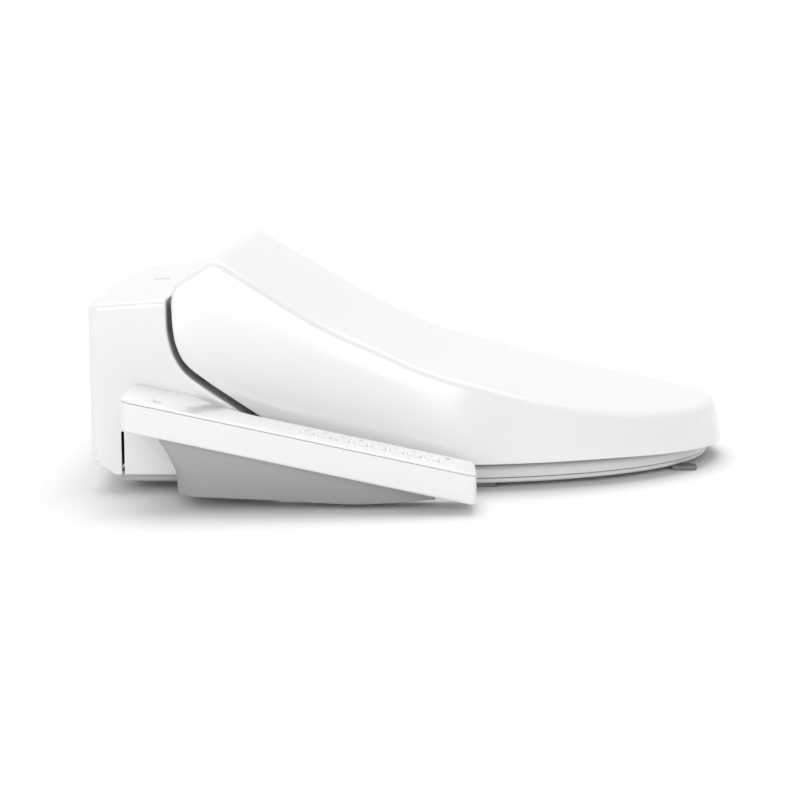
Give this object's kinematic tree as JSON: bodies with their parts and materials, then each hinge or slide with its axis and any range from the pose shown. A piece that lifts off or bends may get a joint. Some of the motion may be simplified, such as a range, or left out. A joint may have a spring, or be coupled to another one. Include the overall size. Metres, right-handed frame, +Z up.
{
  "type": "electric bidet seat",
  "caption": "Elongated electric bidet seat with hinged lid and seat, sliding wash nozzles, warm-air dryer, side control arm and a docking plate.",
  "frame": {"origin": "middle of the mounting plate's underside, half way between the slots for the bowl's two bolts, on the bowl's top face", "axes": "+Z up, -Y towards the seat's nose, +X towards the side with the water inlet, -X towards the control arm"},
  "size_m": [0.483, 0.555, 0.1967],
  "materials": {
    "arm_board": "coated circuit board",
    "arm_bottom": "moulded, satin grey",
    "arm_frame": "moulded, glossy white",
    "arm_key_1": "moulded, satin white",
    "arm_key_2": "moulded, satin white",
    "arm_key_3": "moulded, satin white",
    "arm_key_4": "moulded, satin white",
    "arm_key_5": "moulded, satin white",
    "arm_key_6": "moulded, satin white",
    "arm_key_7": "moulded, satin white",
    "arm_key_8": "moulded, satin white",
    "arm_lamp": "smoked lens",
    "arm_panel": "moulded, glossy white",
    "base_screw_1": "bare metal",
    "base_screw_2": "bare metal",
    "base_screw_3": "bare metal",
    "base_screw_4": "bare metal",
    "base_tray": "moulded, satin grey",
    "control_board": "coated circuit board",
    "cord_gland": "rubber",
    "deodorizer_filter": "moulded, satin white",
    "drain_plug": "moulded, satin grey",
    "dryer_duct": "moulded, black",
    "dryer_flap": "moulded, satin white",
    "fan_housing": "moulded, black",
    "fan_impeller": "moulded",
    "fan_motor": "bare metal",
    "front_nozzle": "polished tube",
    "front_nozzle_gear": "moulded",
    "front_nozzle_motor": "bare metal",
    "front_nozzle_tip": "moulded",
    "heater_tank": "moulded",
    "left_hinge_bracket": "moulded, satin grey",
    "left_hinge_pin": "bare metal",
    "lid": "moulded, glossy white",
    "lid_bumper_1": "rubber",
    "lid_bumper_2": "rubber",
    "mounting_plate": "moulded, satin grey",
    "nozzle_housing": "moulded, satin grey",
    "power_supply": "folded sheet metal",
    "rear_cover": "moulded, glossy white",
    "rear_nozzle": "polished tube",
    "rear_nozzle_gear": "moulded",
    "rear_nozzle_motor": "bare metal",
    "rear_nozzle_tip": "moulded",
    "release_button": "moulded, satin white",
    "right_hinge_bracket": "moulded, satin grey",
    "right_hinge_pin": "bare metal",
    "seat_bottom": "moulded, satin white",
    "seat_bumper_1": "rubber",
    "seat_bumper_2": "rubber",
    "seat_bumper_3": "rubber",
    "seat_bumper_4": "rubber",
    "seat_heater": "film",
    "seat_top": "moulded, glossy white",
    "solenoid_valve": "moulded, black",
    "status_lamp": "smoked lens",
    "water_inlet": "bare metal",
    "water_pump": "moulded, black"
  },
  "bodies": {
    "base": {"arm_board": "arm_board", "arm_bottom": "arm_bottom", "arm_frame": "arm_frame", "arm_lamp": "arm_lamp", "arm_panel": "arm_panel", "base_screw_1": "base_screw_1", "base_screw_2": "base_screw_2", "base_screw_3": "base_screw_3", "base_screw_4": "base_screw_4", "base_tray": "base_tray", "control_board": "control_board", "cord_gland": "cord_gland", "drain_plug": "drain_plug", "dryer_duct": "dryer_duct", "fan_housing": "fan_housing", "fan_motor": "fan_motor", "front_nozzle_motor": "front_nozzle_motor", "heater_tank": "heater_tank", "left_hinge_bracket": "left_hinge_bracket", "left_hinge_pin": "left_hinge_pin", "nozzle_housing": "nozzle_housing", "power_supply": "power_supply", "rear_cover": "rear_cover", "rear_nozzle_motor": "rear_nozzle_motor", "right_hinge_bracket": "right_hinge_bracket", "right_hinge_pin": "right_hinge_pin", "solenoid_valve": "solenoid_valve", "status_lamp": "status_lamp", "water_inlet": "water_inlet", "water_pump": "water_pump"},
    "seat": {"seat_top": "seat_top", "seat_bottom": "seat_bottom", "seat_heater": "seat_heater", "seat_bumper_1": "seat_bumper_1", "seat_bumper_2": "seat_bumper_2", "seat_bumper_3": "seat_bumper_3", "seat_bumper_4": "seat_bumper_4"},
    "lid": {"lid": "lid", "lid_bumper_1": "lid_bumper_1", "lid_bumper_2": "lid_bumper_2"},
    "rear_nozzle_tube": {"rear_nozzle": "rear_nozzle", "rear_nozzle_tip": "rear_nozzle_tip"},
    "front_nozzle_tube": {"front_nozzle": "front_nozzle", "front_nozzle_tip": "front_nozzle_tip"},
    "rear_gear": {"rear_nozzle_gear": "rear_nozzle_gear"},
    "front_gear": {"front_nozzle_gear": "front_nozzle_gear"},
    "impeller": {"fan_impeller": "fan_impeller"},
    "flap": {"dryer_flap": "dryer_flap"},
    "filter": {"deodorizer_filter": "deodorizer_filter"},
    "plate": {"mounting_plate": "mounting_plate"},
    "release": {"release_button": "release_button"},
    "key_1": {"arm_key_1": "arm_key_1"},
    "key_2": {"arm_key_2": "arm_key_2"},
    "key_3": {"arm_key_3": "arm_key_3"},
    "key_4": {"arm_key_4": "arm_key_4"},
    "key_5": {"arm_key_5": "arm_key_5"},
    "key_6": {"arm_key_6": "arm_key_6"},
    "key_7": {"arm_key_7": "arm_key_7"},
    "key_8": {"arm_key_8": "arm_key_8"}
  },
  "joints": [
    {"name": "seat_hinge", "type": "hinge", "parent": "base", "child": "seat", "pos_m": [0, -0.015, 0.158], "axis": [-1, 0, 0], "range_deg": [0, 95]},
    {"name": "lid_hinge", "type": "hinge", "parent": "seat", "child": "lid", "pos_m": [0, -0.015, 0.158], "axis": [1, 0, 0], "range_deg": [-100, 0]},
    {"name": "rear_nozzle_slide", "type": "slide", "parent": "base", "child": "rear_nozzle_tube", "axis": [0, -0.9063, -0.4226], "range_m": [0, 0.06]},
    {"name": "front_nozzle_slide", "type": "slide", "parent": "base", "child": "front_nozzle_tube", "axis": [0, -0.9063, -0.4226], "range_m": [0, 0.06]},
    {"name": "rear_gear_spin", "type": "hinge", "parent": "base", "child": "rear_gear", "pos_m": [-0.012, -0.04154, 0.06305], "axis": [1, 0, 0], "range_deg": [-580, 0]},
    {"name": "front_gear_spin", "type": "hinge", "parent": "base", "child": "front_gear", "pos_m": [0.012, -0.04154, 0.06305], "axis": [1, 0, 0], "range_deg": [-580, 0]},
    {"name": "fan_spin", "type": "hinge", "parent": "base", "child": "impeller", "pos_m": [-0.118, 0.024, 0.074], "axis": [1, 0, 0], "continuous": true},
    {"name": "flap_swing", "type": "hinge", "parent": "base", "child": "flap", "pos_m": [-0.118, -0.0895, 0.03], "axis": [-1, 0, 0], "range_deg": [0, 70]},
    {"name": "filter_slide", "type": "slide", "parent": "base", "child": "filter", "axis": [1, 0, 0], "range_m": [0, 0.06]},
    {"name": "plate_slide", "type": "slide", "parent": "base", "child": "plate", "axis": [0, 1, 0], "range_m": [0, 0.05]},
    {"name": "release_press", "type": "slide", "parent": "base", "child": "release", "axis": [-1, 0, 0], "range_m": [0, 0.003], "stiffness_N_per_m": 300, "springref_m": -0.001},
    {"name": "key_1_press", "type": "slide", "parent": "base", "child": "key_1", "axis": [0, 0.2105, -0.9776], "range_m": [0, 0.0008], "stiffness_N_per_m": 600, "springref_m": -0.0002},
    {"name": "key_2_press", "type": "slide", "parent": "base", "child": "key_2", "axis": [0, 0.2105, -0.9776], "range_m": [0, 0.0008], "stiffness_N_per_m": 600, "springref_m": -0.0002},
    {"name": "key_3_press", "type": "slide", "parent": "base", "child": "key_3", "axis": [0, 0.2105, -0.9776], "range_m": [0, 0.0008], "stiffness_N_per_m": 600, "springref_m": -0.0002},
    {"name": "key_4_press", "type": "slide", "parent": "base", "child": "key_4", "axis": [0, 0.2105, -0.9776], "range_m": [0, 0.0008], "stiffness_N_per_m": 600, "springref_m": -0.0002},
    {"name": "key_5_press", "type": "slide", "parent": "base", "child": "key_5", "axis": [0, 0.2105, -0.9776], "range_m": [0, 0.0008], "stiffness_N_per_m": 600, "springref_m": -0.0002},
    {"name": "key_6_press", "type": "slide", "parent": "base", "child": "key_6", "axis": [0, 0.2105, -0.9776], "range_m": [0, 0.0008], "stiffness_N_per_m": 600, "springref_m": -0.0002},
    {"name": "key_7_press", "type": "slide", "parent": "base", "child": "key_7", "axis": [0, 0.2105, -0.9776], "range_m": [0, 0.0008], "stiffness_N_per_m": 600, "springref_m": -0.0002},
    {"name": "key_8_press", "type": "slide", "parent": "base", "child": "key_8", "axis": [0, 0.2105, -0.9776], "range_m": [0, 0.0008], "stiffness_N_per_m": 600, "springref_m": -0.0002}
  ],
  "couplings": [
    {"joint": "rear_gear_spin", "follows": "rear_nozzle_slide", "rad_per_m": -166.67},
    {"joint": "front_gear_spin", "follows": "front_nozzle_slide", "rad_per_m": -166.67}
  ]
}
